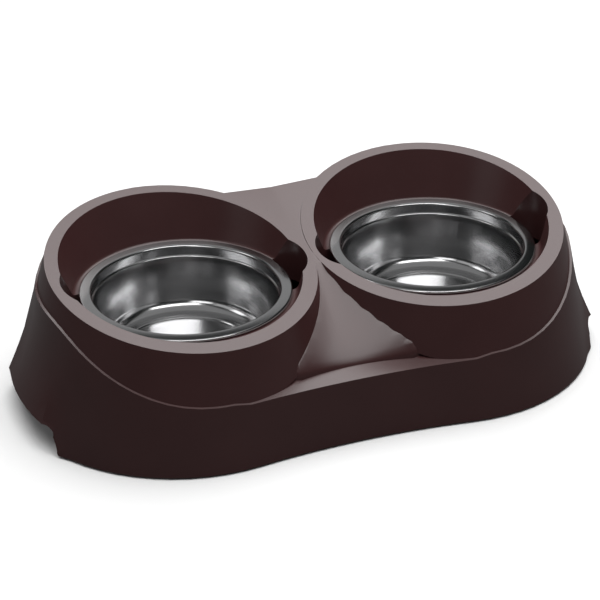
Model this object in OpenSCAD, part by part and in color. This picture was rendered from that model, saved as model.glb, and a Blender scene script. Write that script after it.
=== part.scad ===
// A double feeding stand: two steel bowls hang by their rims in one moulded stand
// with a slanted collar round each bowl, a hand hold under each end and four feet.
// Millimetres. X runs along the stand, Y to its back, Z up from the floor.

/* [Bowls] */
// Outer diameter of a bowl's rim
rim_d = 130; // [120:1:133]
// Width of a bowl's flange, from its mouth to its rim
flange_w = 7.7; // [7:0.1:9]
// Height of the rims above the floor
rim_h = 75.2; // [68:0.2:90]
// Depth of a bowl below its rim
bowl_depth = 40.2; // [28:0.2:50]
// How far the flat disc in a bowl's bottom lies inside the mouth
disc_margin = 19.3; // [17:0.1:30]
// Thickness of the steel
gauge = 0.8; // [0.6:0.1:1.2]
// How far the flange's inner edge stands above its outer edge
flange_rise = 0.4; // [0.2:0.1:1]
// Radius of the rim's rolled edge
curl_r = 1.1; // [0.9:0.1:1.5]
// Height of the upright neck under the mouth
neck_h = 5.2; // [3:0.2:8]
// How far the wall steps in under the neck
neck_step = 1; // [0.4:0.1:2]
// Radius between a bowl's wall and its bottom
heel_r = 9; // [6:0.5:12]
// How far the wall leans in from the neck to the heel
wall_lean = 4.6; // [2:0.2:8]
// Depth of the ring pressed round the bottom's disc
ring_h = 0.9; // [0.4:0.1:1.5]
// Width of that ring
ring_w = 2.6; // [1.5:0.1:4]

/* [Stand] */
// How much further apart the axes of the two collars are than a rim is wide
collar_gap = 38.4; // [36:0.2:40]
// How far each bowl's axis lies inside its collar's axis
bowl_inset = 2.1; // [0:0.1:3]
// How far the bowls lie in front of the collars' axes
bowl_forward = 8.2; // [4:0.2:9]
// How far a collar's wall stands outside the rim, at the height of the rim
collar_margin = 21.8; // [20:0.1:25]
// Draft of a collar's outer wall, in degrees
collar_draft = 15.1; // [12:0.1:17]
// Height of a collar's top above the rim, at the front of the rim
top_front = 1.5; // [1:0.1:6]
// Slope of the collars' tops up to the back, in degrees
top_slope = 11.05; // [8:0.05:12]
// Slope of the collars' tops up to the ends, in degrees
top_cant = 2.4; // [0:0.1:3]
// How far the foot of the skirt stands outside the collar's wall at the rim's height
skirt_spread = 17; // [14:0.5:20]
// Extra spread of the skirt over the hand holds
wing_spread = 7.5; // [6:0.1:10]
// How much straighter than round the skirt's foot is there, as the extra spread at a corner
wing_square = 28; // [0:1:32]
// How far the skirt draws in at the middle, at its foot
waist_foot = 6; // [3:0.5:9]
// How far the skirt draws in at the middle of its front edge
waist_front = 5; // [3:0.5:8]
// How far the deck's straight back edge lies in front of the collars' backs
waist_back = 24.4; // [20:0.1:28]
// Width of the ledge round the collars
ledge_w = 1.5; // [1.2:0.1:2.2]
// Width of the lip in the middle of the front
lip_w = 12; // [9:0.5:15]
// How far the skirt's front edge lies below the rim
front_drop = 34.2; // [28:0.2:38]
// How far the skirt's edge at the ends lies above the rim
end_rise = 4.8; // [4:0.1:7]
// How far the deck lies below the collars' tops
deck_drop = 1; // [0.8:0.1:3]
// Slope of the ledge up from the front, in degrees
ledge_slope = 28.8; // [26:0.1:32]
// How far behind the collars' axes the ledge starts to climb to the deck
climb_y = 35; // [25:1:40]
// How far the top of the saddle lies below the collars' tops
neck_drop = 0.2; // [0.1:0.1:1]
// How far the top of the saddle lies in front of the collars' axes
saddle_top = 19.5; // [16:0.5:24]
// Thickness of the moulded walls
wall = 2.5; // [2:0.1:3]

/* [Wells] */
// Gap round the rim at the foot of the well
seat_margin = 3.3; // [2:0.1:4]
// Draft of the well's wall, in degrees
well_draft = 19.8; // [16:0.1:21]
// Radius between the seat and the well's wall
seat_round = 3; // [1:0.1:3.2]
// Width of the seat under the rim
seat_w = 8.3; // [7:0.1:9]
// Depth of the collar that stiffens the seat's inner edge
seat_lip_h = 6; // [4:0.5:9]
// Radius of a finger notch
notch_r = 22; // [19:0.5:23]
// How far a finger notch reaches outside the rim
notch_reach = 13; // [11:0.5:13.5]
// Depth of a finger notch below the seat
notch_depth = 12; // [8:0.5:16]

/* [Hand holds and feet] */
// Height of the gap under each hand hold, above the skirt's foot
hold_h = 16.5; // [12:0.5:18]
// Length of the gap under each hand hold, at its top
hold_l = 86; // [60:1:88]
// Radius of the gap's corners
hold_r = 6; // [4:0.5:8]
// How much further each end of the gap reaches at the foot
hold_splay = 4; // [2:0.5:5]
// Radius between the ends of the gap and the foot
hold_foot_r = 3; // [1:0.5:4]
// Diameter of a foot
foot_d = 16; // [12:0.5:18]
// How far a foot stands below the skirt
foot_h = 1.5; // [1:0.1:3]
// Depth of the foot's recess in its boss
foot_recess = 1.6; // [1:0.1:2.5]
// Diameter of a foot's stem
stem_d = 6; // [4:0.5:8]
// Length of a foot's stem
stem_l = 9; // [6:0.5:11]
// Height of a foot's boss
boss_h = 15; // [14:0.5:20]
// How far the feet's axes lie inside the foot of the skirt
foot_inset = 13.8; // [13:0.1:16]

/* [Clearances] */
// Gap between a bowl's rim and its seat
seat_gap = 0.3; // [0.2:0.05:0.5]
// Gap between a foot and its recess
foot_gap = 0.2; // [0.1:0.05:0.4]

/* [Hidden] */
$fn = 96;

// Overrun of a cut past the face that it opens
over = 1;
// A length past every piece, for blocks that cut
span = 3 * (rim_d + collar_gap);

// Places worked out from the sizes above
rim_r = rim_d / 2;
mouth_half = rim_r - flange_w;
disc_r = mouth_half - disc_margin;
axis_x = (rim_d + collar_gap) / 2;
bowl_x = axis_x - bowl_inset;
bowl_y = -bowl_forward;
collar_r = rim_r + collar_margin;
collar_tan = tan(collar_draft);
skirt_r = collar_r + skirt_spread;
foot_reach = skirt_r - foot_inset;
top_tan = tan(top_slope);
cant_tan = tan(top_cant);
collar_rise = top_front + top_tan * (rim_r + bowl_forward);
seat_z = rim_h - curl_r - seat_gap;
hole_r = rim_r + seat_margin - seat_w;
notch_x = rim_r + notch_reach - notch_r;
front_z = rim_h - front_drop;
end_z = rim_h + end_rise;
deck_y = collar_r - waist_back;
deck_z = top_z(0, deck_y) - deck_drop;
neck_z = top_z(0, -saddle_top) - neck_drop;
foot_angle = 45;
end_angle = 90;
back_angle = 180;

// Lengths over which the ledge's slopes run into each other: at the front and the back, and
// where it comes level towards the ends
ledge_blend = 3;
end_blend = 9;
// Angles round a collar's axis between which the ledge comes to slope with the deck
level_angle = 150;
deck_angle = 185;
// Half angles of the hand hold's flare: full, and none
flare_angle = 19;
plain_angle = 28;
// Bend of the skirt's section over a hand hold, where 1 is straight
flare_power = 1.6;
// Bend of the saddle's section, as the exponent of its rise
saddle_power = 0.74;
// How far the saddle's sides stand above its middle, where it is dished most, and how soon
// up the saddle the dish sets in
dish_h = 8;
dish_power = 0.3;
// How the lip's back edge bends forward off the middle
lip_curve_share = 0.244;
lip_curve = lip_curve_share / axis_x;
// Rise of the ledge and the lip towards the wall, as a share of their width
lip_pitch_share = 0.2;
// How far the ledge runs on inside the collar
hide = 3;
// How far the collar's wall starts under the ledge, and how many thicknesses of the wall
// deeper the space within it starts
root = 3.5;
core_share = 2.5;
// How far the covered middle of the body lies under the collars' tops
core_drop = 1;

// Height of that round's centre above the foot, as a share of its radius
foot_round_share = 0.9;

// Steps along the waist, round a collar, and up the skirt
waist_steps = 12;
turn_steps = 38;
skirt_share = [0, 0.12, 0.26, 0.42, 0.6, 0.8, 1];
saddle_share = [0.004, 0.02, 0.055, 0.12, 0.22, 0.36, 0.55, 0.77, 1];
deck_share = [0.2, 0.4, 0.6, 0.8, 0.95];

// A smooth step from 0 to 1
function ease(t) = let(u = min(1, max(0, t))) u * u * (3 - 2 * u);
function mix(a, b, t) = a + (b - a) * t;
function collar_at(z) = collar_r - collar_tan * (z - rim_h);
// Height of the collars' slanted tops
function top_z(x, y) = rim_h + collar_rise + top_tan * y + cant_tan * (abs(x) - axis_x);
// Soft lower and upper of two heights, run together over a length b
function lower(p, q, b) = (p + q - sqrt((p - q) * (p - q) + b * b)) / 2;
function upper(p, q, b) = (p + q + sqrt((p - q) * (p - q) + b * b)) / 2;
// Height at which a plane of slope m through [y, z] meets the ledge's edge, at angle a
function plane_z(m, y, z, a) = let(r = collar_r + ledge_w + collar_tan * rim_h)
    (z - m * y - m * cos(a) * r) / (1 - m * collar_tan * cos(a));
// Height of the skirt's edge behind a collar, where it runs along below the slanted top
function back_z(a) = let(g = cant_tan * sin(a) - top_tan * cos(a),
    r = collar_r + ledge_w + collar_tan * rim_h)
    (rim_h + collar_rise - deck_drop + g * r) / (1 + g * collar_tan);
// Height of the skirt's edge at an angle round a collar, from straight ahead: it climbs
// from the front, runs level past the end and climbs again to the collar's back
front_r = collar_at(front_z) + ledge_w;
back_tan = (back_z(back_angle) - end_z) / (collar_at(back_z(back_angle)) + ledge_w - climb_y);
function edge_z(a) = a > back_angle ? back_z(a) : upper(
    lower(plane_z(tan(ledge_slope), -front_r, front_z + ledge_blend / 4, a), end_z, end_blend),
    a < end_angle ? front_z : plane_z(back_tan, climb_y, end_z, a), ledge_blend);
function edge_r(a) = collar_at(edge_z(a)) + ledge_w;
function flare(a) = ease((plain_angle - abs(a - end_angle)) / (plain_angle - flare_angle));
function foot_r(a) = skirt_r + (wing_spread + wing_square * pow(cos(a), 2)) * flare(a);
// The deck's corner, where its straight back edge runs into the collar
flat_r = collar_at(top_z(axis_x, deck_y) - deck_drop) + ledge_w;
corner_z = top_z(axis_x - sqrt(flat_r * flat_r - deck_y * deck_y), deck_y) - deck_drop;
back_r = collar_at(corner_z) + ledge_w;
corner_x = axis_x - sqrt(back_r * back_r - deck_y * deck_y);
// Rise of the ledge inwards: up to the wall, and down with the deck at the back
deck_tan = (deck_z - neck_z) / (deck_y + saddle_top);
function pitch(a) = mix(lip_pitch_share, -deck_tan,
    ease((a - level_angle) / (deck_angle - level_angle)));

// A waist: an arc that runs into the circle of radius r round each collar's axis and
// passes w in front of the line of the axes. Its radius, its half angle and its points.
function waist_arc(r, w) = (axis_x * axis_x + w * w - r * r) / (2 * (r - w));
function waist_a(r, w) = asin(axis_x / (waist_arc(r, w) + r));
function waist_pt(r, w, t) = let(q = waist_arc(r, w), a = t * waist_a(r, w))
    [q * sin(a), -(w + q - q * cos(a))];
function round_pt(r, a) = [axis_x + r * sin(a), -r * cos(a)];

function waist_line(r, w) = [for (i = [0:waist_steps]) waist_pt(r, w, i / waist_steps)];
// A straight waist, which meets that circle at a corner
function straight_line(r, w) = let(x = axis_x - sqrt(r * r - w * w))
    [for (i = [0:waist_steps]) [x * i / waist_steps, -w]];

// Right half of a level outline, from the middle of the front round to the middle of the
// back, from its waists and from the radii and angles of the turn steps between them
function half_line(front, radii, angles, back) = concat(front,
    [for (i = [0:turn_steps - 2]) round_pt(radii[i], angles[i])],
    [for (i = [waist_steps:-1:0]) [back[i][0], -back[i][1]]]);

// Angles of the turn steps at the edge, less the thickness t, and the foot's angles, which
// keep with the edge's at the ends and come to the foot's own waists
function front_a(t) = waist_a(front_r - t, front_r - waist_front - t);
function back_a(t) = acos((deck_y - t) / (back_r - t));
function low_a(t) = waist_a(skirt_r - t, skirt_r - waist_foot - t);
function edge_angles(t) = [for (i = [1:turn_steps - 1])
    mix(-front_a(t), back_angle + back_a(t), i / turn_steps)];
function foot_turn(a, t) = a - (low_a(t) - front_a(t)) * ease(1 - a / end_angle)
    + (low_a(t) - back_a(t)) * ease((a - end_angle) / (end_angle + back_a(t)));
function edge_line(t) = let(a = edge_angles(t)) half_line(
    waist_line(front_r - t, front_r - waist_front - t), [for (q = a) edge_r(q) - t], a,
    straight_line(back_r - t, deck_y - t));
function foot_line(t) = let(a = [for (q = edge_angles(t)) foot_turn(q, t)],
    low = waist_line(skirt_r - t, skirt_r - waist_foot - t))
    half_line(low, [for (q = a) foot_r(q) - t], a, low);
// The angle that each station of the right half counts as
function station_a(t) = concat([for (i = [0:waist_steps]) 0], edge_angles(t),
    [for (i = [0:waist_steps]) back_angle]);

// Its height at the edge: along the deck it rises from the middle to the collars
function deck_side(x) = (corner_z - deck_z) * min(1, abs(x) / corner_x);
function station_z(i, a, x) = i >= half_n - 1 - waist_steps ? deck_z + deck_side(x)
    : i <= waist_steps ? front_z : edge_z(a);

half_n = 2 * (waist_steps + 1) + turn_steps - 1;
ring_n = 2 * half_n - 2;
// A whole ring from its right half, anticlockwise seen from above
function whole(h) = concat(h, [for (i = [half_n - 2:-1:1]) [-h[i][0], h[i][1], h[i][2]]]);

// One ring up the skirt: 0 at its foot, 1 at its edge
function skirt_ring(t, share) = let(f = foot_line(t), e = edge_line(t), a = station_a(t)) whole(
    [for (i = [0:half_n - 1]) let(
        bend = mix(1, flare_power, flare(a[i])),
        s = pow(1 - share, bend),
        top = station_z(i, a[i], e[i][0]) - t)
    [mix(e[i][0], f[i][0], s), mix(e[i][1], f[i][1], s), mix(foot_h, top, share)]]);
// The lip's back edge at a distance from the middle, kept inside the collar's wall from
// where it has run into it
lip_end = axis_x / 2;
function lip_y(x, t) = let(y = -(front_r - waist_front - lip_w + lip_curve * x * x) + t)
    abs(x) < lip_end ? y
    : max(y, -sqrt(pow(collar_at(front_z) - hide - t, 2) - pow(axis_x - abs(x), 2)));
// The ledge's inner ring, the lip's back edge and the front of the deck's edge
function ledge_ring(t) = let(e = edge_line(t), a = station_a(t)) whole(
    [for (i = [0:half_n - 1]) let(x = e[i][0], y = e[i][1], z = station_z(i, a[i], x) - t)
        i <= waist_steps ? [x, lip_y(x, t), z + lip_pitch_share * (lip_y(x, t) - y)]
        : i >= half_n - 1 - waist_steps ? [x, y - hide, z - deck_tan * hide]
        : let(w = ledge_w + hide, c = [axis_x, 0], k = 1 - w / norm([x, y] - c))
            [c[0] + (x - c[0]) * k, c[1] + (y - c[1]) * k, z + pitch(a[i]) * w]]);
// The saddle and the deck over a place between the collars. The saddle is dished: it rises
// from its middle to the collars' walls, and runs on level inside them.
function dish(x, y, z, s) = let(
    side = axis_x - sqrt(max(0, pow(collar_at(z), 2) - y * y)))
    dish_h * pow(s, dish_power) * (1 - s) * pow(min(1, abs(x) / side), 2);
function saddle_pt(x, s, t) = let(
    y = mix(lip_y(x, 0), -saddle_top, s),
    z = mix(front_z + lip_pitch_share * lip_w, neck_z, pow(s, saddle_power)))
    [x, y + t, z + dish(x, y, z, s) - t];
function deck_pt(x, xb, yb, s, t) = let(u = mix(x, xb, s))
    [u, mix(-saddle_top, yb, s) + t * (1 - s),
    mix(neck_z, deck_z - deck_tan * hide, s) + deck_side(u) * s - t];

// Points of the body's surface, less the thickness t: the skirt's rings, the ledge's inner
// ring, the rows of the saddle and the deck, and a hub under the middle of each collar
wide = 2 * waist_steps + 1;
front_places = [for (i = [-waist_steps:waist_steps]) (i + ring_n) % ring_n];
back_places = [for (i = [-waist_steps:waist_steps]) (half_n - 1 - i + ring_n) % ring_n];
function body_points(t) = let(inner = ledge_ring(t)) concat(
    [for (s = skirt_share) each skirt_ring(t, s)],
    inner,
    [for (s = saddle_share) each [for (i = front_places) saddle_pt(inner[i][0], s, t)]],
    [for (s = deck_share) each [for (i = [0:wide - 1]) let(f = front_places[i], b = back_places[i])
        deck_pt(inner[f][0], inner[b][0], inner[b][1], s, t)]],
    [for (side = [-1, 1]) [side * axis_x, 0, rim_h + collar_rise - core_drop - t]]);

// Triangles of that surface, seen clockwise from outside
last_ring = len(skirt_share) * ring_n;
row_n = len(saddle_share) + len(deck_share);
hub = last_ring + ring_n + row_n * wide;
lines = concat([[for (i = front_places) last_ring + i]],
    [for (r = [0:row_n - 1]) [for (i = [0:wide - 1]) last_ring + ring_n + r * wide + i]],
    [[for (i = back_places) last_ring + i]]);
line_n = len(lines);
// Each fan's loop: round the collar, then along the side of the strips
right_loop = concat([for (i = [waist_steps:half_n - 1 - waist_steps]) last_ring + i],
    [for (r = [line_n - 2:-1:1]) lines[r][wide - 1]]);
left_loop = concat([for (i = [half_n - 1 + waist_steps:ring_n - waist_steps]) last_ring + i],
    [for (r = [1:line_n - 2]) lines[r][0]]);
function fan(loop, top) = [for (i = [0:len(loop) - 1]) [loop[i], top, loop[(i + 1) % len(loop)]]];
body_faces = concat(
    [for (r = [0:len(skirt_share) - 1], i = [0:ring_n - 1]) let(
        a = r * ring_n + i, b = r * ring_n + (i + 1) % ring_n) each
        [[a, b + ring_n, b], [a, a + ring_n, b + ring_n]]],
    [for (r = [0:line_n - 2], i = [0:wide - 2]) each
        [[lines[r][i], lines[r + 1][i + 1], lines[r][i + 1]],
         [lines[r][i], lines[r + 1][i], lines[r + 1][i + 1]]]],
    fan(right_loop, hub + 1), fan(left_loop, hub));

// The body: a shell with the skirt, its ledge, lip, saddle and deck, open below. Both
// collars stand on it and take the place of its two fans.
module body() {
    outer = body_points(0);
    n = len(outer);
    polyhedron(concat(outer, body_points(wall)), concat(body_faces,
        [for (f = body_faces) [n + f[2], n + f[1], n + f[0]]],
        [for (i = [0:ring_n - 1]) let(j = (i + 1) % ring_n) each [[i, j, n + j], [i, n + j, n + i]]]));
}

// Everything under a collar's slanted top, lowered by t
module under_top(side, t) {
    translate([side * axis_x, 0, rim_h + collar_rise - t])
        rotate([top_slope, -side * top_cant, 0])
            translate([-span / 2, -span / 2, -span])
                cube(span);
}

// Everything below a plane that climbs to the back by an angle from [y, z]
module under_slope(angle, y, z) {
    translate([-span, y, z])
        rotate([angle, 0, 0])
            translate([0, -span, -span])
                cube([2 * span, 2 * span, span]);
}

// A collar's wall as a solid cone, less the thickness t. Its lower edge follows the ledge,
// well under it for the space within the wall, so that nothing of the body's fans is left.
module collar(side, t) {
    sink = root + core_share * t;
    low = front_z - sink;
    difference() {
        intersection() {
            translate([side * axis_x, 0, low])
                cylinder(h = rim_d, r1 = collar_at(low) - t / cos(collar_draft),
                    r2 = collar_at(low + rim_d) - t / cos(collar_draft));
            under_top(side, t);
        }
        intersection() {
            under_slope(ledge_slope, -front_r, low);
            under_slope(0, 0, end_z - sink);
        }
        intersection() {
            under_slope(atan(back_tan), climb_y, end_z - sink);
            translate([-span, 0, 0])
                cube(2 * span);
        }
    }
}

// A piece in each collar's bowl place, on both sides
module at_bowls() {
    for (side = [-1, 1])
        translate([side * bowl_x, bowl_y, 0])
            children();
}

// A well's wall as a solid cone, grown by t, from its seat up
module well(side, t) {
    intersection() {
        translate([side * bowl_x, bowl_y, seat_z - t])
            cylinder(h = rim_r, r1 = rim_r + seat_margin + t - t * tan(well_draft),
                r2 = rim_r + seat_margin + t + (rim_r - t) * tan(well_draft));
        under_top(side, 0);
    }
}

// A well as it is cut, with a round between its seat and its wall
module well_cut(side) {
    mid = rim_r + seat_margin + seat_round * (tan(well_draft) - 1 / cos(well_draft));
    intersection() {
        translate([side * bowl_x, bowl_y, 0])
            rotate_extrude()
                polygon(concat([[0, seat_z]],
                    bow([mid, seat_z + seat_round], seat_round, -end_angle, -well_draft, 5),
                    [[rim_r + seat_margin + rim_r * tan(well_draft), seat_z + rim_r],
                     [0, seat_z + rim_r]]));
        under_top(side, -over);
    }
}

// The two finger notches of a well, grown by t
module notches(side, t) {
    intersection() {
        for (end = [-1, 1])
            translate([side * bowl_x + end * notch_x, bowl_y,
                seat_z - notch_depth - (t > 0 ? 0 : over)])
                cylinder(h = span, r = notch_r + t);
        under_top(side, t > 0 ? 0 : -over);
    }
}

// A foot's place, at 45 degrees round a collar's axis
module at_foot(side, end) {
    translate([side * (axis_x + foot_reach * sin(foot_angle)), end * foot_reach * cos(foot_angle), 0])
        children();
}

// A foot's boss with a web to the skirt, cut back to lie within the skirt's wall
module boss(side, end) {
    skirt_tan = (skirt_r - edge_r(foot_angle)) / (edge_z(foot_angle) - foot_h);
    intersection() {
        at_foot(side, end)
            union() {
                translate([0, 0, foot_h])
                    cylinder(h = boss_h, d = foot_d + 2 * (foot_gap + wall));
                rotate([0, 0, side * end * foot_angle + (side < 0 ? 180 : 0)])
                    translate([0, -wall / 2, foot_h + wall])
                        cube([foot_d + wall, wall, boss_h - 2 * wall]);
            }
        translate([side * axis_x, 0, 0])
            cylinder(h = foot_h + boss_h + over, r1 = skirt_r - wall / 2,
                r2 = skirt_r - wall / 2 - skirt_tan * (foot_h + boss_h + over));
    }
}

// A foot's recess and the bore for its stem
module foot_socket(side, end) {
    at_foot(side, end) {
        cylinder(h = foot_h + foot_recess, d = foot_d + 2 * foot_gap);
        cylinder(h = foot_h + foot_recess + stem_l + foot_gap, d = stem_d);
    }
}

// The outline of a hand hold's gap: its ends splay to the floor, with round corners
module hold_outline() {
    foot_y = hold_l / 2 + hold_splay + hold_foot_r;
    end = concat(
        [[foot_y, -over]],
        bow([foot_y, foot_h + hold_foot_r * foot_round_share], hold_foot_r, 270, 180, 6),
        bow([hold_l / 2 - hold_r, foot_h + hold_h - hold_r], hold_r, 0, 90, 6));
    polygon(concat(end, [for (i = [len(end) - 1:-1:0]) [-end[i][0], end[i][1]]]));
}

module stand() {
    color([0.235, 0.17, 0.165]) difference() {
        union() {
            difference() {
                union() {
                    body();
                    collar(-1, 0);
                    collar(1, 0);
                }
                collar(-1, wall);
                collar(1, wall);
            }
            for (side = [-1, 1]) {
                well(side, wall);
                notches(side, wall);
                translate([side * bowl_x, bowl_y, seat_z - seat_lip_h])
                    cylinder(h = seat_lip_h, r = hole_r + wall);
                for (end = [-1, 1])
                    boss(side, end);
            }
        }
        for (side = [-1, 1]) {
            well_cut(side);
            notches(side, 0);
            for (end = [-1, 1])
                foot_socket(side, end);
            mirror([side < 0 ? 1 : 0, 0, 0])
                translate([axis_x + collar_r - foot_d, 0, 0])
                    rotate([90, 0, 90])
                        linear_extrude(height = skirt_r)
                            hold_outline();
        }
        at_bowls()
            translate([0, 0, foot_h])
                cylinder(h = rim_h, r = hole_r);
    }
}

// A sheet of thickness t along a path of [radius, height] points, as one closed outline
function way(p, i) = let(a = p[max(0, i - 1)], b = p[min(len(p) - 1, i + 1)], d = b - a) d / norm(d);
function side_of(p, i, h) = let(d = way(p, i)) [max(0, p[i][0] - d[1] * h), p[i][1] + d[0] * h];
function sheet(p, t) = concat([for (i = [0:len(p) - 1]) side_of(p, i, t / 2)],
    [for (i = [len(p) - 1:-1:0]) side_of(p, i, -t / 2)]);
function bow(c, r, a, b, n) = [for (i = [0:n]) let(q = mix(a, b, i / n)) c + r * [cos(q), sin(q)]];

// A bowl's half section, from the middle of its bottom up its wall and over its rim
neck_r = mouth_half + gauge / 2;
mouth_r = 1.5 * gauge;
floor_z = rim_h - bowl_depth - gauge / 2;
edge_h = rim_h + curl_r - gauge / 2;
flange_z = edge_h + flange_rise;
lean_a = atan(wall_lean / (bowl_depth - neck_h - heel_r));
heel_c = [neck_r - neck_step - wall_lean - heel_r * cos(lean_a), floor_z + heel_r];
ring_steps = 6;
bowl_path = concat(
    [[0, floor_z]],
    [for (i = [0:ring_steps]) [disc_r + ring_w * i / ring_steps,
        floor_z - ring_h / 2 + ring_h / 2 * cos(360 * i / ring_steps)]],
    bow(heel_c, heel_r, -end_angle, -lean_a, 8),
    [[neck_r - neck_step, flange_z - mouth_r - neck_h - neck_step],
     [neck_r, flange_z - mouth_r - neck_h]],
    bow([neck_r + mouth_r, flange_z - mouth_r], mouth_r, 180, 90, 5),
    [[rim_r - curl_r, edge_h]]);

module bowl() {
    rotate_extrude()
        polygon(sheet(bowl_path, gauge));
    translate([0, 0, rim_h])
        rotate_extrude()
            translate([rim_r - curl_r, 0])
                circle(r = curl_r);
}

module bowl_left() {
    color([0.78, 0.78, 0.77])
        translate([-bowl_x, bowl_y, 0])
            bowl();
}

module bowl_right() {
    color([0.78, 0.78, 0.77])
        translate([bowl_x, bowl_y, 0])
            bowl();
}

// A foot: a pad with a rounded lower edge, and the stem that is pressed into its boss
module foot() {
    round_r = foot_h / 2;
    color([0.12, 0.11, 0.11]) rotate_extrude()
        polygon(concat(
            [[0, 0]],
            bow([foot_d / 2 - round_r, round_r], round_r, -90, 0, 4),
            [[foot_d / 2, foot_h + foot_recess], [stem_d / 2, foot_h + foot_recess],
             [stem_d / 2, foot_h + foot_recess + stem_l], [0, foot_h + foot_recess + stem_l]]));
}

module foot_front_left() {
    at_foot(-1, -1)
        foot();
}

module foot_front_right() {
    at_foot(1, -1)
        foot();
}

module foot_back_left() {
    at_foot(-1, 1)
        foot();
}

module foot_back_right() {
    at_foot(1, 1)
        foot();
}

stand();
bowl_left();
bowl_right();
foot_front_left();
foot_front_right();
foot_back_left();
foot_back_right();
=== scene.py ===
"""A double feeding stand for pets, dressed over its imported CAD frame.

Two spun steel bowls hang by their rims in one moulded stand. Each part has an
operator that shapes and finishes it, and one more sets the floor, light and camera.
"""

import math

import bpy
from mathutils import Matrix, Vector


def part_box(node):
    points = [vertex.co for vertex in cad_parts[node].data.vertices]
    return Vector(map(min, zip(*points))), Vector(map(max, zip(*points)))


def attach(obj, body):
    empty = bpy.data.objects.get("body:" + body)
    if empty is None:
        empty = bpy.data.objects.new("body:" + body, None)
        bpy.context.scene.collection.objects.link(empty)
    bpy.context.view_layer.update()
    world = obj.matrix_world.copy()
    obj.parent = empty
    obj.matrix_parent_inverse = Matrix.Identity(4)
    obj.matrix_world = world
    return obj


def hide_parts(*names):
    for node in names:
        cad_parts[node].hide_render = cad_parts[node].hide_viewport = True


bl_info = {
    "name": "Double Feeding Stand",
    "version": (1, 0, 0),
    "blender": (4, 5, 0),
    "location": "View3D > Sidebar > Feeding Stand",
    "description": "Shapes and finishes a moulded stand with two steel bowls",
    "category": "Object",
}

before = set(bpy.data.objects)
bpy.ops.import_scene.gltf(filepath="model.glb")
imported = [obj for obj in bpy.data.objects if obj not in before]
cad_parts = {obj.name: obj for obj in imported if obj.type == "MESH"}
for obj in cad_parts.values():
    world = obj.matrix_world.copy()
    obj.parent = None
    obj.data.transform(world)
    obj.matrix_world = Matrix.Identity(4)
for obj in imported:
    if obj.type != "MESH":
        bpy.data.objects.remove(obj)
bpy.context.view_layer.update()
MM = 0.001


def deselect_all():
    """Nothing is selected or being edited afterwards."""
    if bpy.context.object and bpy.context.object.mode != "OBJECT":
        bpy.ops.object.mode_set(mode="OBJECT")
    bpy.ops.object.select_all(action="DESELECT")


def choose(piece):
    """The piece alone is selected and active."""
    deselect_all()
    piece.select_set(True)
    bpy.context.view_layer.objects.active = piece


def apply_place(piece):
    """The piece's place goes into its mesh, and its object to the origin."""
    choose(piece)
    bpy.ops.object.transform_apply(location=True, rotation=True, scale=True)


def middle_of(node):
    """The middle of a node's box, in metres."""
    low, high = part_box(node)
    return (Vector(low) + Vector(high)) / 2


def lathe(name, outline, centre, steps):
    """Turns a closed half section of (radius, height) in metres round the upright
    axis through centre, ring by ring, and closes it at both ends on the axis."""
    deselect_all()
    cx, cy = centre
    bpy.ops.mesh.primitive_circle_add(
        vertices=steps, radius=outline[0][0], location=(cx, cy, outline[0][1])
    )
    piece = bpy.context.object
    piece.name = piece.data.name = name
    apply_place(piece)
    bpy.ops.object.mode_set(mode="EDIT")
    bpy.ops.mesh.select_all(action="SELECT")
    bpy.ops.mesh.edge_face_add()
    bpy.ops.mesh.select_all(action="DESELECT")
    bpy.ops.mesh.select_non_manifold()
    for (r0, z0), (r1, z1) in zip(outline, outline[1:]):
        bpy.ops.mesh.extrude_edges_move(TRANSFORM_OT_translate={"value": (0, 0, z1 - z0)})
        grow = r1 / r0
        bpy.ops.transform.resize(value=(grow, grow, 1), center_override=(cx, cy, z1))
    bpy.ops.mesh.edge_face_add()
    bpy.ops.mesh.select_all(action="SELECT")
    bpy.ops.mesh.normals_make_consistent(inside=False)
    bpy.ops.object.mode_set(mode="OBJECT")
    return piece


def bend_path(centre, radius, start, end, steps):
    """Points of an arc from start to end, in degrees."""
    made = []
    for i in range(steps + 1):
        a = math.radians(start + (end - start) * i / steps)
        made.append((centre[0] + radius * math.cos(a), centre[1] + radius * math.sin(a)))
    return made


def sheet_sides(path, thickness):
    """The upper and lower sides of a sheet of a thickness along a path of points."""
    upper, lower = [], []
    for i, (r, z) in enumerate(path):
        a, b = path[max(0, i - 1)], path[min(len(path) - 1, i + 1)]
        length = math.hypot(b[0] - a[0], b[1] - a[1])
        nr, nz = -(b[1] - a[1]) / length, (b[0] - a[0]) / length
        upper.append((r + nr * thickness / 2, z + nz * thickness / 2))
        lower.append((r - nr * thickness / 2, z - nz * thickness / 2))
    return upper, lower


# Materials


def new_group(name, inputs, outputs):
    """An empty shader node group with named (type, default) sockets."""
    group = bpy.data.node_groups.new(name, "ShaderNodeTree")
    for label, (kind, value) in inputs.items():
        socket = group.interface.new_socket(label, in_out="INPUT", socket_type=kind)
        if value is not None:
            socket.default_value = value
    for label, kind in outputs.items():
        group.interface.new_socket(label, in_out="OUTPUT", socket_type=kind)
    return group, group.nodes.new("NodeGroupInput"), group.nodes.new("NodeGroupOutput")


def math_node(tree, operation, a, b=None, clamp=False):
    """A Math node on sockets or numbers, and its output."""
    node = tree.nodes.new("ShaderNodeMath")
    node.operation = operation
    node.use_clamp = clamp
    for i, value in enumerate((a, b)):
        if value is None:
            continue
        if hasattr(value, "is_output"):
            tree.links.new(value, node.inputs[i])
        else:
            node.inputs[i].default_value = value
    return node.outputs[0]


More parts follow.
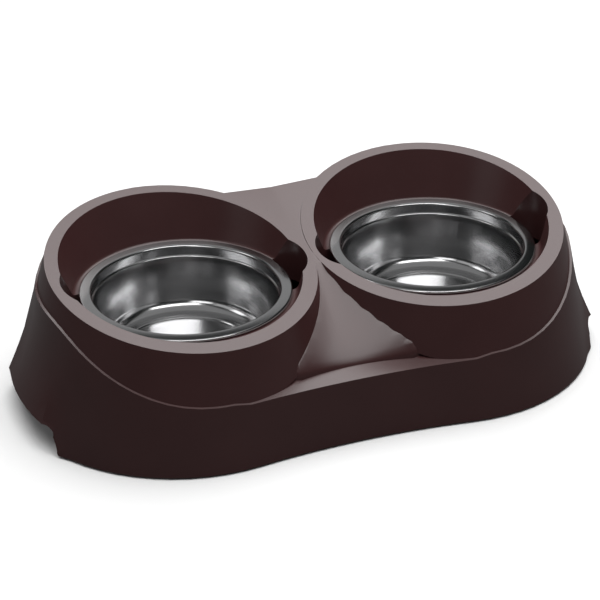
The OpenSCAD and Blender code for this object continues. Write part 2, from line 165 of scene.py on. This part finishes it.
def moulded_group():
    """Fine moulded grain with soft mottling: a tint factor, a roughness and a height."""
    group, start, end = new_group(
        "Moulded grain",
        {
            "Position": ("NodeSocketVector", None),
            "Roughness": ("NodeSocketFloat", 0.35),
            "Spread": ("NodeSocketFloat", 0.08),
            "Grain": ("NodeSocketFloat", 900.0),
        },
        {"Tint": "NodeSocketFloat", "Roughness": "NodeSocketFloat", "Height": "NodeSocketFloat"},
    )
    links = group.links
    grain = group.nodes.new("ShaderNodeTexNoise")
    grain.inputs["Detail"].default_value = 3.0
    links.new(start.outputs["Position"], grain.inputs["Vector"])
    links.new(start.outputs["Grain"], grain.inputs["Scale"])
    cloud = group.nodes.new("ShaderNodeTexNoise")
    cloud.inputs["Scale"].default_value = 28.0
    cloud.inputs["Detail"].default_value = 4.0
    links.new(start.outputs["Position"], cloud.inputs["Vector"])
    mixed = math_node(group, "ADD", math_node(group, "MULTIPLY", cloud.outputs[0], 0.7),
                      math_node(group, "MULTIPLY", grain.outputs[0], 0.3))
    links.new(mixed, end.inputs["Tint"])
    apart_from_mean = math_node(group, "SUBTRACT", mixed, 0.5)
    offset = math_node(group, "MULTIPLY", apart_from_mean, start.outputs["Spread"])
    links.new(math_node(group, "ADD", start.outputs["Roughness"], offset), end.inputs["Roughness"])
    links.new(grain.outputs[0], end.inputs["Height"])
    return group


def spun_group():
    """Fine turning rings and light wiping marks of spun steel, round the axis through
    the origin of Position: a tint factor, a roughness and a height."""
    group, start, end = new_group(
        "Spun rings",
        {
            "Position": ("NodeSocketVector", None),
            "Rings": ("NodeSocketFloat", 1400.0),
            "Roughness": ("NodeSocketFloat", 0.16),
            "Spread": ("NodeSocketFloat", 0.1),
        },
        {"Tint": "NodeSocketFloat", "Roughness": "NodeSocketFloat", "Height": "NodeSocketFloat"},
    )
    links = group.links
    apart = group.nodes.new("ShaderNodeSeparateXYZ")
    links.new(start.outputs["Position"], apart.inputs[0])
    square = math_node(group, "ADD", math_node(group, "MULTIPLY", apart.outputs[0], apart.outputs[0]),
                       math_node(group, "MULTIPLY", apart.outputs[1], apart.outputs[1]))
    radius = math_node(group, "SQRT", square)
    # Along the wall the rings follow the height, and along the bottom the radius
    along = math_node(group, "ADD", radius, apart.outputs[2])
    rings = group.nodes.new("ShaderNodeTexNoise")
    rings.noise_dimensions = "1D"
    rings.inputs["Detail"].default_value = 2.0
    rings.inputs["Roughness"].default_value = 0.65
    links.new(start.outputs["Rings"], rings.inputs["Scale"])
    links.new(along, rings.inputs["W"])
    wiped = group.nodes.new("ShaderNodeTexNoise")
    wiped.inputs["Scale"].default_value = 34.0
    wiped.inputs["Detail"].default_value = 3.0
    links.new(start.outputs["Position"], wiped.inputs["Vector"])
    mixed = math_node(group, "ADD", math_node(group, "MULTIPLY", rings.outputs[0], 0.6),
                      math_node(group, "MULTIPLY", wiped.outputs[0], 0.4))
    links.new(mixed, end.inputs["Tint"])
    apart_from_mean = math_node(group, "SUBTRACT", mixed, 0.5)
    offset = math_node(group, "MULTIPLY", apart_from_mean, start.outputs["Spread"])
    links.new(math_node(group, "ADD", start.outputs["Roughness"], offset), end.inputs["Roughness"])
    links.new(rings.outputs[0], end.inputs["Height"])
    return group


def shared_group(name, make):
    """The node group of that name, made the first time that it is asked for."""
    return bpy.data.node_groups.get(name) or make()


def surface(name, group, values, light, dark, bump, distance, centre=(0, 0, 0)):
    """A material whose colour, roughness and bump come from a group, with a pattern
    centred on a point. Returns the material and its shader node."""
    material = bpy.data.materials.new(name)
    material.use_nodes = True
    tree = material.node_tree
    shader = tree.nodes["Principled BSDF"]
    place = tree.nodes.new("ShaderNodeTexCoord")
    shift = tree.nodes.new("ShaderNodeMapping")
    shift.inputs["Location"].default_value = [-c for c in centre]
    tree.links.new(place.outputs["Object"], shift.inputs["Vector"])
    effect = tree.nodes.new("ShaderNodeGroup")
    effect.node_tree = group
    for label, value in values.items():
        effect.inputs[label].default_value = value
    tree.links.new(shift.outputs[0], effect.inputs["Position"])
    ramp = tree.nodes.new("ShaderNodeValToRGB")
    ramp.color_ramp.elements[0].position = 0.3
    ramp.color_ramp.elements[1].position = 0.7
    ramp.color_ramp.elements[0].color = (*dark, 1)
    ramp.color_ramp.elements[1].color = (*light, 1)
    tree.links.new(effect.outputs["Tint"], ramp.inputs[0])
    tree.links.new(ramp.outputs[0], shader.inputs["Base Color"])
    tree.links.new(effect.outputs["Roughness"], shader.inputs["Roughness"])
    relief = tree.nodes.new("ShaderNodeBump")
    relief.inputs["Strength"].default_value = bump
    relief.inputs["Distance"].default_value = distance
    tree.links.new(effect.outputs["Height"], relief.inputs["Height"])
    tree.links.new(relief.outputs[0], shader.inputs["Normal"])
    return material, shader


def brown_plastic(settings):
    """Dark brown satin plastic of the stand."""
    light = Vector(settings.plastic_colour)
    material, shader = surface(
        "Brown moulded plastic", shared_group("Moulded grain", moulded_group),
        {"Roughness": settings.plastic_roughness, "Spread": 0.08, "Grain": 900.0},
        light * 1.08, light * 0.92, 0.12, 0.00004,
    )
    shader.inputs["Specular IOR Level"].default_value = 0.5
    return material


def spun_steel(name, settings, centre):
    """Polished spun steel with rings round one bowl's axis."""
    light = Vector(settings.steel_colour)
    material, shader = surface(
        name, shared_group("Spun rings", spun_group),
        {"Rings": 1400.0, "Roughness": settings.steel_roughness, "Spread": 0.06},
        light, light * 0.95, 0.03, 0.00001, centre,
    )
    shader.inputs["Metallic"].default_value = 1.0
    return material


def foot_rubber(settings):
    """Dull black rubber of the feet."""
    light = Vector(settings.rubber_colour)
    material, shader = surface(
        "Foot rubber", shared_group("Moulded grain", moulded_group),
        {"Roughness": 0.8, "Spread": 0.15, "Grain": 1600.0},
        light * 1.2, light * 0.8, 0.3, 0.00008,
    )
    shader.inputs["Specular IOR Level"].default_value = 0.3
    return material


def dress(piece, material):
    """The piece has that material alone."""
    piece.data.materials.clear()
    piece.data.materials.append(material)


# Settings


class StandSettings(bpy.types.PropertyGroup):
    edge_radius: bpy.props.FloatProperty(
        name="Edge radius", description="Radius on the stand's edges",
        default=0.0006, min=0.0002, max=0.002, unit="LENGTH",
    )
    plastic_colour: bpy.props.FloatVectorProperty(
        name="Plastic colour", description="Colour of the stand's plastic",
        default=(0.033, 0.0124, 0.0124), min=0, max=1, subtype="COLOR",
    )
    plastic_roughness: bpy.props.FloatProperty(
        name="Plastic roughness", description="Roughness of the stand's plastic",
        default=0.31, min=0.05, max=1, subtype="FACTOR",
    )
    rubber_colour: bpy.props.FloatVectorProperty(
        name="Rubber colour", description="Colour of the feet",
        default=(0.012, 0.011, 0.011), min=0, max=1, subtype="COLOR",
    )


class BowlSettings(bpy.types.PropertyGroup):
    mouth_radius: bpy.props.FloatProperty(
        name="Mouth radius", description="Radius of a bowl's mouth",
        default=0.0573, min=0.05, max=0.06, unit="LENGTH",
    )
    depth: bpy.props.FloatProperty(
        name="Depth", description="Depth of a bowl below its rim",
        default=0.0402, min=0.03, max=0.045, unit="LENGTH",
    )
    disc_radius: bpy.props.FloatProperty(
        name="Disc radius", description="Radius of the flat disc in a bowl's bottom",
        default=0.038, min=0.03, max=0.042, unit="LENGTH",
    )
    neck_height: bpy.props.FloatProperty(
        name="Neck height", description="Height of the straight neck under a bowl's rim",
        default=0.0052, min=0.002, max=0.01, unit="LENGTH",
    )
    neck_step: bpy.props.FloatProperty(
        name="Neck step", description="How far the wall steps in under the neck",
        default=0.001, min=0.0004, max=0.002, unit="LENGTH",
    )
    wall_lean: bpy.props.FloatProperty(
        name="Wall lean", description="How far the wall leans in from its top to its heel",
        default=0.0046, min=0.001, max=0.008, unit="LENGTH",
    )
    heel_radius: bpy.props.FloatProperty(
        name="Heel radius", description="Radius between a bowl's wall and its bottom",
        default=0.009, min=0.004, max=0.012, unit="LENGTH",
    )
    ring_width: bpy.props.FloatProperty(
        name="Ring width", description="Width of the pressed ring round the bottom's disc",
        default=0.0026, min=0.001, max=0.004, unit="LENGTH",
    )
    ring_depth: bpy.props.FloatProperty(
        name="Ring depth", description="Depth of the pressed ring round the bottom's disc",
        default=0.0009, min=0.0003, max=0.002, unit="LENGTH",
    )
    flange_rise: bpy.props.FloatProperty(
        name="Flange rise", description="How far the flange rises from the bead to the mouth",
        default=0.0004, min=0, max=0.001, unit="LENGTH",
    )
    bead_radius: bpy.props.FloatProperty(
        name="Bead radius", description="Radius of the bead round a bowl's rim",
        default=0.0011, min=0.0008, max=0.002, unit="LENGTH",
    )
    gauge: bpy.props.FloatProperty(
        name="Gauge", description="Thickness of the steel",
        default=0.0008, min=0.0005, max=0.0012, unit="LENGTH",
    )
    steel_colour: bpy.props.FloatVectorProperty(
        name="Steel colour", description="Colour of the bowls' steel",
        default=(0.54, 0.54, 0.545), min=0, max=1, subtype="COLOR",
    )
    steel_roughness: bpy.props.FloatProperty(
        name="Steel roughness", description="Roughness of the bowls' steel",
        default=0.17, min=0.02, max=1, subtype="FACTOR",
    )


class StageSettings(bpy.types.PropertyGroup):
    floor_size: bpy.props.FloatProperty(
        name="Floor size", description="Width of the floor under the stand",
        default=12.0, min=2, max=40, unit="LENGTH",
    )
    top_light: bpy.props.FloatProperty(
        name="Top light", description="Power of the soft light overhead, in watts",
        default=76.0, min=0, max=200,
    )
    side_light: bpy.props.FloatProperty(
        name="Side light", description="Power of the soft light at the left, in watts",
        default=1.5, min=0, max=200,
    )
    bowl_light: bpy.props.FloatProperty(
        name="Bowl lights", description="Strength of the soft lights that the steel mirrors",
        default=1.0, min=0, max=20,
    )


# Pieces


class FEEDSTAND_OT_stand(bpy.types.Operator):
    """Copy the stand's solid, round its edges and finish it in brown plastic"""

    bl_idname = "feedstand.stand"
    bl_label = "Moulded Stand"

    def execute(self, context):
        settings = context.scene.stand_settings
        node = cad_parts["stand"]
        deselect_all()
        piece = bpy.data.objects.new("stand_shell", node.data.copy())
        context.collection.objects.link(piece)
        choose(piece)
        bpy.ops.object.mode_set(mode="EDIT")
        bpy.ops.mesh.select_all(action="SELECT")
        # The shortest edges, where curved walls cross, would spoil the rounds
        bpy.ops.mesh.remove_doubles(threshold=0.4 * MM)
        bpy.ops.mesh.dissolve_degenerate(threshold=0.2 * MM)
        bpy.ops.object.mode_set(mode="OBJECT")
        bevel = piece.modifiers.new("Rounded edges", "BEVEL")
        bevel.width = settings.edge_radius
        bevel.segments = 3
        bevel.limit_method = "ANGLE"
        bevel.angle_limit = math.radians(26)
        bevel.use_clamp_overlap = True
        bevel.miter_outer = "MITER_ARC"
        bpy.ops.object.modifier_apply(modifier=bevel.name)
        bpy.ops.object.shade_smooth_by_angle(angle=math.radians(28))
        weigh = piece.modifiers.new("Weighted normals", "WEIGHTED_NORMAL")
        weigh.mode = "FACE_AREA"
        weigh.weight = 50
        weigh.keep_sharp = True
        bpy.ops.object.modifier_apply(modifier=weigh.name)
        dress(piece, brown_plastic(settings))
        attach(piece, "stand")
        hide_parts("stand")
        return {"FINISHED"}


def bowl_sides(settings, bead_z, rim_radius):
    """The inner and outer sides of a bowl's half section, from the axis to the bead,
    as (radius, height) in metres, with the heights above the floor."""
    gauge, step, heel_r = settings.gauge, settings.neck_step, settings.heel_radius
    neck_r = settings.mouth_radius + gauge / 2
    roll_r = 1.5 * gauge
    rim_z = bead_z + settings.bead_radius - gauge / 2
    flange_z = rim_z + settings.flange_rise
    floor_z = bead_z - settings.depth - gauge / 2

    # The bottom's disc and the pressed ring round it
    path = [(0.0015, floor_z)]
    path += [(settings.disc_radius * k / 6, floor_z) for k in range(1, 6)]
    for i in range(17):
        turn = i / 16
        sink = settings.ring_depth / 2 * (1 - math.cos(2 * math.pi * turn))
        path.append((settings.disc_radius + settings.ring_width * turn, floor_z - sink))

    # The heel and the leaning wall
    wall_height = settings.depth - settings.neck_height - heel_r
    lean = math.degrees(math.atan(settings.wall_lean / wall_height))
    heel_x = neck_r - step - settings.wall_lean - heel_r * math.cos(math.radians(lean))
    path += bend_path((heel_x, floor_z + heel_r), heel_r, -90, -lean, 20)
    wall_top = (neck_r - step, flange_z - roll_r - settings.neck_height - step)
    low = path[-1]
    path += [(low[0] + (wall_top[0] - low[0]) * t, low[1] + (wall_top[1] - low[1]) * t)
             for t in (0.15, 0.3, 0.5, 0.7, 0.85)]

    # The step out to the neck, and the neck
    for i in range(9):
        turn = i / 8
        ease = turn * turn * (3 - 2 * turn)
        path.append((wall_top[0] + step * ease, wall_top[1] + step * turn))
    path += [(neck_r, flange_z - roll_r - settings.neck_height * t) for t in (0.7, 0.4, 0.15)]

    # The rolled mouth and the flange down to the bead
    path += bend_path((neck_r + roll_r, flange_z - roll_r), roll_r, 180, 90, 9)
    end = (rim_radius - settings.bead_radius, rim_z)
    low = path[-1]
    path += [(low[0] + (end[0] - low[0]) * t, low[1] + (end[1] - low[1]) * t ** 1.3)
             for t in (0.2, 0.4, 0.6, 0.8, 0.93)]
    return sheet_sides(path, gauge)


class FEEDSTAND_OT_bowls(bpy.types.Operator):
    """Spin the steel bowls ring by ring, with a rolled mouth and a beaded rim"""

    bl_idname = "feedstand.bowls"
    bl_label = "Steel Bowls"

    def execute(self, context):
        settings = context.scene.bowl_settings
        centre = middle_of("bowl_left")
        low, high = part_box("bowl_left")
        rim_radius = (high[0] - low[0]) / 2
        bead_radius = settings.bead_radius
        bead_z = high[2] - settings.flange_rise - bead_radius
        upper, lower = bowl_sides(settings, bead_z, rim_radius)
        bead = bend_path((rim_radius - bead_radius, bead_z), bead_radius, 84, -180, 22)
        outline = upper + bead + lower[::-1]
        left = lathe("steel_bowl_left", outline, (centre.x, centre.y), 192)
        bpy.ops.object.shade_smooth_by_angle(angle=math.radians(50))
        right = left.copy()
        right.data = left.data.copy()
        right.name = right.data.name = "steel_bowl_right"
        context.collection.objects.link(right)
        other = middle_of("bowl_right")
        right.data.transform(Matrix.Translation(other - centre))
        for piece, node, place in ((left, "bowl_left", centre), (right, "bowl_right", other)):
            steel = spun_steel("Spun steel " + node[5:], settings, (place.x, place.y, 0))
            dress(piece, steel)
            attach(piece, node)
            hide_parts(node)
        return {"FINISHED"}


class FEEDSTAND_OT_feet(bpy.types.Operator):
    """Turn one rubber foot with treads under its pad, and copy it to its three places"""

    bl_idname = "feedstand.feet"
    bl_label = "Rubber Feet"

    def execute(self, context):
        settings = context.scene.stand_settings
        material = foot_rubber(settings)
        low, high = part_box("foot_front_left")
        centre = middle_of("foot_front_left")
        radius = (high[0] - low[0]) / 2
        height = high[2]
        round_r, tread = 0.7 * MM, 0.5 * MM
        outline = [(0.8 * MM, tread), (2.2 * MM, tread), (2.5 * MM, 0.15 * MM), (2.8 * MM, 0.0),
                   (4.0 * MM, 0.0), (4.3 * MM, 0.15 * MM), (4.5 * MM, tread), (5.2 * MM, tread),
                   (5.4 * MM, 0.15 * MM), (5.7 * MM, 0.0)]
        outline += bend_path((radius - round_r, round_r), round_r, -90, 0, 6)
        outline += [(radius, 2.8 * MM), (radius - 0.3 * MM, 3.1 * MM), (3.2 * MM, 3.1 * MM),
                    (3.0 * MM, 3.4 * MM), (3.0 * MM, height - 0.8 * MM),
                    (2.4 * MM, height), (0.8 * MM, height)]
        first = lathe("foot_pad_front_left", outline, (centre.x, centre.y), 64)
        bpy.ops.object.shade_smooth_by_angle(angle=math.radians(40))
        for node in ("foot_front_left", "foot_front_right", "foot_back_left", "foot_back_right"):
            piece = first
            if node != "foot_front_left":
                piece = first.copy()
                piece.data = first.data.copy()
                piece.name = piece.data.name = node.replace("foot", "foot_pad")
                context.collection.objects.link(piece)
                piece.data.transform(Matrix.Translation(middle_of(node) - centre))
            dress(piece, material)
            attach(piece, "stand")
            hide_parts(node)
        return {"FINISHED"}


def soft_lamp(name, place, aim, size, power):
    """A soft white oblong lamp that faces a point."""
    data = bpy.data.lights.new(name, "AREA")
    data.shape = "RECTANGLE"
    data.size, data.size_y = size
    data.energy = power
    lamp = bpy.data.objects.new(name, data)
    bpy.context.collection.objects.link(lamp)
    lamp.location = place
    lamp.rotation_euler = (Vector(aim) - Vector(place)).to_track_quat("-Z", "Y").to_euler()
    return lamp


def share_light(lamp, pieces, state):
    """The lamp lights those pieces alone (INCLUDE), or all but those (EXCLUDE)."""
    group = bpy.data.collections.new(lamp.name + " receivers")
    for piece in pieces:
        group.objects.link(piece)
    for entry in group.collection_objects:
        entry.light_linking.link_state = state
    lamp.light_linking.receiver_collection = group


# The steel mirrors these: name, place, size and power in watts
BOWL_LAMPS = (
    ("Bowl light left", (-0.95, -1.05, 0.68), (0.7, 0.5), 2.4),
    ("Bowl light front", (-0.05, -0.95, 1.12), (1.45, 0.35), 7.0),
    ("Bowl light overhead", (0, 0, 1.35), (2.0, 2.0), 3.6),
    ("Bowl light back", (0, 1.6, 1.0), (2.0, 0.6), 1.3),
    ("Bowl light side", (-1.3, 0.35, 1.0), (0.5, 0.5), 1.8),
)


class FEEDSTAND_OT_stage(bpy.types.Operator):
    """Set the pale floor, the white surroundings, the soft lamps and the camera"""

    bl_idname = "feedstand.stage"
    bl_label = "Stage"

    def add_floor(self, settings):
        """A floor that is white to the camera and throws less light up at the walls."""
        deselect_all()
        bpy.ops.mesh.primitive_plane_add(size=settings.floor_size, location=(0, 0, 0))
        floor = bpy.context.object
        floor.name = "studio_floor"
        material = bpy.data.materials.new("Studio floor")
        material.use_nodes = True
        tree = material.node_tree
        shader = tree.nodes["Principled BSDF"]
        light_path = tree.nodes.new("ShaderNodeLightPath")
        pale = tree.nodes.new("ShaderNodeMix")
        pale.data_type = "RGBA"
        pale.inputs["A"].default_value = (0.08, 0.08, 0.08, 1)
        pale.inputs["B"].default_value = (0.6, 0.6, 0.6, 1)
        tree.links.new(light_path.outputs["Is Camera Ray"], pale.inputs[0])
        tree.links.new(pale.outputs[2], shader.inputs["Base Color"])
        shader.inputs["Roughness"].default_value = 0.9
        shader.inputs["Specular IOR Level"].default_value = 0.1
        self.fade_out(tree, light_path)
        floor.data.materials.append(material)

    def fade_out(self, tree, light_path):
        """Far from the stand the camera sees the floor fade into the white background."""
        place = tree.nodes.new("ShaderNodeTexCoord")
        reach = tree.nodes.new("ShaderNodeVectorMath")
        reach.operation = "LENGTH"
        tree.links.new(place.outputs["Object"], reach.inputs[0])
        fade = tree.nodes.new("ShaderNodeMapRange")
        fade.interpolation_type = "SMOOTHSTEP"
        fade.inputs["From Min"].default_value = 0.35
        fade.inputs["From Max"].default_value = 1.3
        tree.links.new(reach.outputs["Value"], fade.inputs["Value"])
        white = tree.nodes.new("ShaderNodeEmission")
        mix = tree.nodes.new("ShaderNodeMixShader")
        seen = math_node(tree, "MULTIPLY", fade.outputs[0], light_path.outputs["Is Camera Ray"])
        tree.links.new(seen, mix.inputs[0])
        tree.links.new(tree.nodes["Principled BSDF"].outputs[0], mix.inputs[1])
        tree.links.new(white.outputs[0], mix.inputs[2])
        tree.links.new(mix.outputs[0], tree.nodes["Material Output"].inputs["Surface"])

    def add_surroundings(self, scene):
        """A world that is white where it is seen or mirrored, and dim as a light."""
        world = bpy.data.worlds.new("White surroundings")
        scene.world = world
        world.use_nodes = True
        tree = world.node_tree
        tree.nodes.clear()
        out = tree.nodes.new("ShaderNodeOutputWorld")
        mix = tree.nodes.new("ShaderNodeMixShader")
        for socket, strength in ((1, 0.12), (2, 1.0)):
            white = tree.nodes.new("ShaderNodeBackground")
            white.inputs["Color"].default_value = (1, 1, 1, 1)
            white.inputs["Strength"].default_value = strength
            tree.links.new(white.outputs[0], mix.inputs[socket])
        path = tree.nodes.new("ShaderNodeLightPath")
        seen = math_node(tree, "MAXIMUM", path.outputs["Is Camera Ray"], path.outputs["Is Glossy Ray"])
        seen = math_node(tree, "MAXIMUM", seen, path.outputs["Is Transmission Ray"])
        tree.links.new(seen, mix.inputs[0])
        tree.links.new(mix.outputs[0], out.inputs["Surface"])

    def add_lamps(self, settings):
        """The stand's two soft lamps, and those that light the steel alone."""
        bowls = [bpy.data.objects["steel_bowl_" + side] for side in ("left", "right")]
        top = soft_lamp("Top light", (0.3, 0.12, 1.4), (0.3, 0.12, 0), (2.1, 2.8), settings.top_light)
        top.rotation_euler = (0, 0, math.radians(-12))
        share_light(top, bowls, "EXCLUDE")
        soft_lamp("Side light", (-1.5, -0.3, 0.8), (0, 0, 0.05), (0.9, 0.9), settings.side_light)
        for name, place, size, power in BOWL_LAMPS:
            lamp = soft_lamp(name, place, (0, 0, 0.05), size, power * settings.bowl_light)
            share_light(lamp, bowls, "INCLUDE")

    def add_tent(self):
        """A tent of grey studio cloth round the floor, seen only in reflections."""
        deselect_all()
        bpy.ops.mesh.primitive_cylinder_add(vertices=96, radius=3.2, depth=3.2, location=(0, 0, 1.6))
        tent = bpy.context.object
        tent.name = "studio_cloth"
        bpy.ops.object.mode_set(mode="EDIT")
        bpy.ops.mesh.select_all(action="DESELECT")
        bpy.ops.object.mode_set(mode="OBJECT")
        for face in tent.data.polygons:
            face.select = face.normal.z < -0.5
        bpy.ops.object.mode_set(mode="EDIT")
        bpy.ops.mesh.delete(type="FACE")
        bpy.ops.object.mode_set(mode="OBJECT")
        material = bpy.data.materials.new("Studio cloth")
        material.use_nodes = True
        shader = material.node_tree.nodes["Principled BSDF"]
        shader.inputs["Base Color"].default_value = (0.10, 0.12, 0.12, 1)
        shader.inputs["Roughness"].default_value = 1.0
        tent.data.materials.append(material)
        tent.visible_camera = False
        tent.visible_diffuse = False
        tent.visible_shadow = False
        tent.visible_transmission = False

    def add_camera(self, context):
        """The camera at the photograph's viewing angle."""
        camera = bpy.data.objects.new("Camera", bpy.data.cameras.new("Camera"))
        context.collection.objects.link(camera)
        camera.location = (-0.4797, -1.2151, 0.7494)
        aim = Vector((0, -0.0082, 0.07523)) - camera.location
        camera.rotation_euler = aim.to_track_quat("-Z", "Y").to_euler()
        camera.data.sensor_width = 36
        camera.data.lens = 141.73
        camera.data.shift_x = -0.0190
        camera.data.shift_y = -0.0555
        context.scene.camera = camera

    def execute(self, context):
        settings = context.scene.stage_settings
        self.add_floor(settings)
        self.add_surroundings(context.scene)
        self.add_lamps(settings)
        self.add_tent()
        self.add_camera(context)
        context.scene.view_settings.view_transform = "Standard"
        return {"FINISHED"}


class FEEDSTAND_PT_panel(bpy.types.Panel):
    """Sizes, finishes and steps of the feeding stand"""

    bl_idname = "FEEDSTAND_PT_panel"
    bl_label = "Feeding Stand"
    bl_space_type = "VIEW_3D"
    bl_region_type = "UI"
    bl_category = "Feeding Stand"

    def draw(self, context):
        scene = context.scene
        for group in (scene.stand_settings, scene.bowl_settings, scene.stage_settings):
            box = self.layout.box()
            for key in group.bl_rna.properties.keys():
                if key not in ("rna_type", "name"):
                    box.prop(group, key)
        for operator in OPERATORS:
            self.layout.operator(operator.bl_idname)


OPERATORS = (FEEDSTAND_OT_stand, FEEDSTAND_OT_bowls, FEEDSTAND_OT_feet, FEEDSTAND_OT_stage)
CLASSES = (StandSettings, BowlSettings, StageSettings, *OPERATORS, FEEDSTAND_PT_panel)


def register():
    for cls in CLASSES:
        bpy.utils.register_class(cls)
    bpy.types.Scene.stand_settings = bpy.props.PointerProperty(type=StandSettings)
    bpy.types.Scene.bowl_settings = bpy.props.PointerProperty(type=BowlSettings)
    bpy.types.Scene.stage_settings = bpy.props.PointerProperty(type=StageSettings)


def unregister():
    del bpy.types.Scene.stage_settings
    del bpy.types.Scene.bowl_settings
    del bpy.types.Scene.stand_settings
    for cls in reversed(CLASSES):
        bpy.utils.unregister_class(cls)


def main():
    register()
    bpy.ops.feedstand.stand()
    bpy.ops.feedstand.bowls()
    bpy.ops.feedstand.feet()
    bpy.ops.feedstand.stage()


if __name__ == "__main__":
    main()
